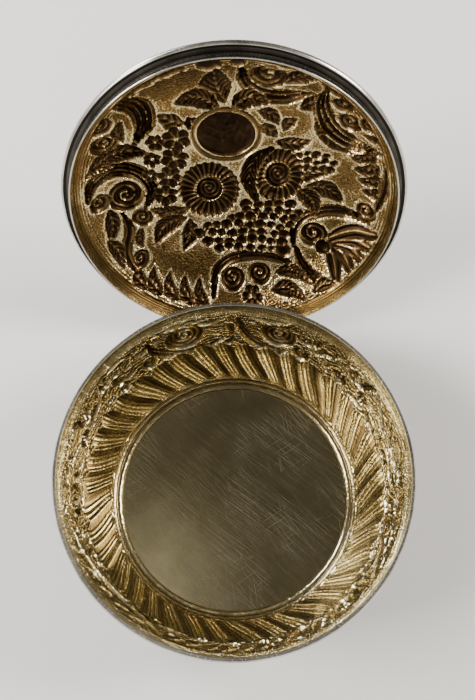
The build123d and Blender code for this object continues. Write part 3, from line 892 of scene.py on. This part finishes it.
def bouquet_forms(field):
    """The fruit and flowers in the middle. Places are mm right and up, seen from inside."""
    leaf(field, (-2, 22.6), (-3.6, 33.4), 7.6, 1.1, 0.12, 8)
    leaf(field, (-3.2, 21.2), (-13.8, 22.6), 5.8, 1.1, -0.2, 8)
    leaf(field, (-0.6, 21), (8.2, 22.4), 5.8, 1.1, 0.24, 7)
    leaf(field, (5.4, 20.6), (10.6, 16.8), 3.8, 0.9, 0.15, 4)
    leaf(field, (-11.4, 17), (-17.6, 20.2), 5, 0.9, 0.1, 4)
    leaf(field, (5.6, 16.4), (10.4, 13.4), 3.6, 0.8, 0.1, 3)
    leaf(field, (11.4, 15.4), (14.6, 18.8), 3.6, 0.8, 0.1, 3)
    leaf(field, (9.8, 12.4), (18.4, 13), 4.6, 1, -0.14, 5)
    leaf(field, (15.6, 0.8), (24.6, 4.4), 4.6, 1, 0.14, 6)
    leaf(field, (17.2, -0.4), (27.2, -4.4), 5.2, 1.1, 0.16, 7)
    leaf(field, (14.8, -1), (20.6, -9.2), 5.4, 1.1, 0.16, 8)
    leaf(field, (-11.2, -7.2), (-21.6, -6.6), 5, 1, 0.14, 7)
    leaf(field, (-12, -9.6), (-20.4, -17.6), 5.6, 1.1, -0.16, 8)
    leaf(field, (-11.2, -10.2), (-13.4, -20), 4.8, 1.1, 0.1, 8)
    small_flowers = ((-18.6, 12.2, 2.3, 0), (-19.6, 7.4, 2.2, 30), (-20.4, 2.8, 2.1, 10), (-17, -3, 3.1, 25),
                     (-15.8, 2.2, 3.2, 50), (-14.2, 7.4, 3.4, 15), (-13.6, 12.8, 3.5, 40), (-9.8, 17.2, 1.8, 0))
    for x, y, radius, turn in small_flowers:
        rosette(field, x, y, radius, 6, turn, 1.15)
    chance = np.random.default_rng(3)
    # Rows of mm up, then from where to where; and the gap, the two scatters, the sizes and the height
    grapes = ((-5.8, 3.4, 14.6), (-8, 1.4, 15.8), (-10.2, -1, 16), (-12.4, -8.4, 15.4),
              (-14.7, -8.8, 14.2), (-17, -8, 12), (-19, -4, 7.6))
    currants = ((8.8, 15.6, 22.2), (6.9, 14.8, 24.4), (5, 15.4, 24.4))
    for rows, gap, aside, astray, small, large, height in (
            (grapes, 2.7, 0.55, 0.6, 1.15, 1.7, 1.1), (currants, 2, 0.3, 0.4, 0.9, 1.3, 0.9)):
        for row, (y, left, right) in enumerate(rows):
            for i in range(int((right - left) / gap) + 1):
                x = left + gap * i + (gap / 2 if row % 2 else 0) + chance.uniform(-aside, aside)
                boss(field, x, y + chance.uniform(-astray, astray), chance.uniform(small, large), height)
    whorl(field, 10.6, 2.6, 6.6, 3, 22, 1.4, 1.2, 20)
    ribbon(field, [(8.8, 10), (5.2, 6.6), (3.6, 1.2), (5.6, -5)], [0.9, 2.2, 2.3, 0.8], 1.4, veins=9)
    whorl(field, -6.2, -1.8, 7.7, 3.2, 26, 1.5, 1.06)
    ringed_fruit(field, -1.9, 14, 7, 6.2, 1.9)


dome_points = [(0, 9.3), (8, 8.95), (16, 8.35), (24, 7.5), (28.6, 6.4), (32.4, 4.0), (35.2, 1.4), (36.8, 0.2),
               (37.8, 0.0)]
dome_inside = skin(dome_points, 120, 1)
lip_edge_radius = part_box("lid_chased_dome")[1][0] / MM
dome_steps = 528
flange_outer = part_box("lid_flange")[1][0] / MM
tarnish_width = 0.7
lip_start_under, lip_start_over = 38.4, 38.6
lip = [plain(lip_start_under, 0, inner=1), plain(flange_outer, 0), plain(lip_edge_radius - tarnish_width, 0)]
lip += [plain(lip_edge_radius, 0), plain(lip_edge_radius, SHEET), plain(lip_start_over, SHEET)]
dome_outside = [s for s in outer_skin(dome_inside) if s[1] > SHEET + 0.05]
dome_outside[0] = (0.0, dome_outside[0][1], 0, 0, 1, 0)  # the crown lies on the axis
dome_stations = dome_inside + lip + list(reversed(dome_outside))
chased_dome = spin_outline("chased_dome", [s[:2] for s in dome_stations], dome_steps)


def dome_field(place, radius, down):
    """The relief of the lid, seen from inside: x runs right, y runs up to the far edge."""
    field = new_field(place[:, 0].copy(), -place[:, 1])
    border_forms(field)
    bouquet_forms(field)
    chased_radius, margin_radius, turned_radius, line_group = 36.9, 34.6, 36.6, 2.6
    field.height *= ease((chased_radius - radius) / 0.8)
    field.ground *= ease((chased_radius - radius) / 0.4)
    field.soft, field.fine = soften(field, reach=2.4), soften(field, reach=0.9)
    # Lines run round the bare ground at the margin, and round the plain edge outside it
    ripple = math.tau * radius / line_group
    margin = ease((radius - margin_radius) / 0.8) * field.ground + ease((radius - turned_radius) / 0.3)
    field.wave = np.stack([np.cos(ripple), np.sin(ripple), np.minimum(margin, 1)], 1)
    field.unrolled = place.copy()
    return field


def oxidised_silver():
    """Silver sulphide in a line that no cloth reaches: black, with a dull metal sheen."""
    material, _, shader = new_material("black tarnish on silver")
    shader.inputs["Base Color"].default_value = linear("#2b2925")
    shader.inputs["Roughness"].default_value = 0.4
    shader.inputs["Metallic"].default_value = 1
    return material


def in_lip_corner(centre, normal):
    """Whether a face lies in the corner where the lip meets its wire, and tarnish settles."""
    return math.hypot(centre.x, centre.y) > lip_edge_radius - tarnish_width and abs(centre.z) < 0.01


relief_mesh(chased_dome, dome_stations, dome_field)
shade_turned(chased_dome, chased_corner)
# Tones from bare gilding on the ridges, with painted highlight, to tarnish and painted shade in the hollows
lid_tones = [(0.0, "#ead6a6"), (0.05, "#b59b66"), (0.12, "#83693e"), (0.4, "#715a36"), (0.6, "#57422a"),
             (0.8, "#3f2e1d"), (1.0, "#2c2015")]
lid_gilding = chased_gilt("chased gilding of the lid", lid_tones, lines=4, curls=0.0, deep=0.8, grime=0.06,
                          line_wear_and_painted_highlight=0.24)
black_silver = oxidised_silver()
dress_sheet(chased_dome, lid_gilding)
dress(chased_dome, black_silver)
paint_faces(chased_dome, in_lip_corner, 2)
chased_dome.data.transform(lid_place)
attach(chased_dome, "lid")
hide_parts("lid_chased_dome")


# --- Lid: flange and lip wire ----------------------------------------------------------------
# A plain band soldered inside the lip drops into the base's collar; a drawn wire stiffens the
# lip's edge. Both are silver outside, and the band is gilt on the face towards the contents.

flange_inner = 38.45
flange_outline = [(flange_inner, 0), (flange_inner, -flange_depth + edge_round),
                  (flange_inner + edge_round, -flange_depth)]
flange_outline += [(flange_outer - edge_round, -flange_depth), (flange_outer, -flange_depth + edge_round)]
# Two turned lines round the band's outside, by its edge and by the lip, hold black tarnish
line_depth, line_flank = 0.1, 0.05
for top, bottom in ((-2.0, -2.35), (-0.05, -0.6)):
    flange_outline += [(flange_outer, bottom), (flange_outer - line_depth, bottom + line_flank)]
    flange_outline += [(flange_outer - line_depth, top - line_flank), (flange_outer, top)]
flange = turned("lid_band", flange_outline, silver, band_gilt, black_silver)


def in_turned_line(centre, normal):
    """Whether a face lies sunk in one of the band's two lines."""
    from_axis = math.hypot(centre.x, centre.y)
    return flange_inner + 0.15 < from_axis < flange_outer - 0.03 and centre.z > -2.4


paint_faces(flange, faces_axis, 1)
paint_faces(flange, in_turned_line, 2)
flange.data.transform(lid_place)
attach(flange, "lid")
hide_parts("lid_flange")

lip_wire_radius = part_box("lid_lip_wire")[1][0] / MM
lip_wire_height = 1.5
lip_bottom = (SHEET - lip_wire_height) / 2
lip_outline = half_round(lip_edge_radius, lip_wire_radius, lip_bottom, lip_bottom + lip_wire_height)
lip_wire = turned("lip_wire", lip_outline, silver)
lip_wire.data.transform(lid_place)
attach(lip_wire, "lid")
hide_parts("lid_lip_wire")


# --- Table, light and camera -----------------------------------------------------------------
# A plain pale table in a dim room with three soft windows, left, right and behind, and a faint
# glow overhead, so the metal mirrors more dark than light.

bpy.ops.object.select_all(action="DESELECT")
bpy.ops.mesh.primitive_plane_add(size=4.0)
table = bpy.context.active_object
table.name = "table"
paper, _, paper_shader = new_material("plain pale paper")
paper_shader.inputs["Base Color"].default_value = linear("#fafaf8")
paper_shader.inputs["Roughness"].default_value = 0.9
dress(table, paper)

room = bpy.data.worlds.new("dim room")
bpy.context.scene.world = room
room.use_nodes = True
add_to_room = partial(add_node, room.node_tree)
sky = room.node_tree.nodes["Background"]
# The room is pale low down and dim overhead, in uneven patches, and darkest behind the lid
outward = add_to_room("TexCoord")
axes = add_to_room("SeparateXYZ", {"Vector": (outward, "Generated")})
climb = ramp(add_to_room, (axes, "Z"), [(0.0, "#f2f0ec"), (0.35, "#d6d3cc"), (0.6, "#908c86"), (0.8, "#76736d"),
                                        (1.0, "#7c7973")])
shapes = add_to_room("TexNoise", {"Vector": (outward, "Generated"), "Scale": 2.2, "Detail": 1.0})
patches = remap(add_to_room, shapes, (0.4, 0.6), (0.7, 1.5))
behind = remap(add_to_room, (axes, "Y"), (0.45, 0.9), (1, 0.25))
strength = maths(add_to_room, "MULTIPLY", patches, behind)
room.node_tree.links.new(climb.outputs["Color"], sky.inputs["Color"])
room.node_tree.links.new(strength.outputs["Value"], sky.inputs["Strength"])


def soft_light(name, place, aim, size, power, colour):
    """A square area light aimed at a point."""
    data = bpy.data.lights.new(name, "AREA")
    data.shape, data.size, data.energy, data.color = "SQUARE", size, power, linear(colour)[:3]
    lamp = bpy.data.objects.new(name, data)
    bpy.context.collection.objects.link(lamp)
    lamp.location = place
    lamp.rotation_euler = (Vector(aim) - Vector(place)).to_track_quat("-Z", "Y").to_euler()


box_middle = (0, 0.03, 0.02)
soft_light("window_left", (-0.72, -0.12, 0.6), box_middle, 0.4, 9.0, "#fffaf2")
soft_light("window_right", (0.75, 0.15, 0.6), box_middle, 0.35, 8.5, "#fff8f0")
soft_light("window_back", (-0.75, 0.75, 0.5), box_middle, 0.4, 13.0, "#f6f8ff")
soft_light("ceiling_glow", (-0.13, 0.08, 1.2), (-0.13, 0.08, 0), 0.16, 0.08, "#f4f6f8")

camera_data = bpy.data.cameras.new("camera")
camera = bpy.data.objects.new("camera", camera_data)
bpy.context.collection.objects.link(camera)
photo_height = 700
focal_pixels = 850
camera_from_base = Vector((0.8 * MM, -41.2 * MM, 215.6 * MM))  # from the middle of the base's foot
camera_tilt = 20.6
camera_data.sensor_width = 36
camera_data.lens = camera_data.sensor_width * focal_pixels / photo_height
camera_data.clip_start = 0.005
camera.location = base_place @ camera_from_base
camera.rotation_euler = (math.radians(camera_tilt), 0, 0)
bpy.context.scene.camera = camera
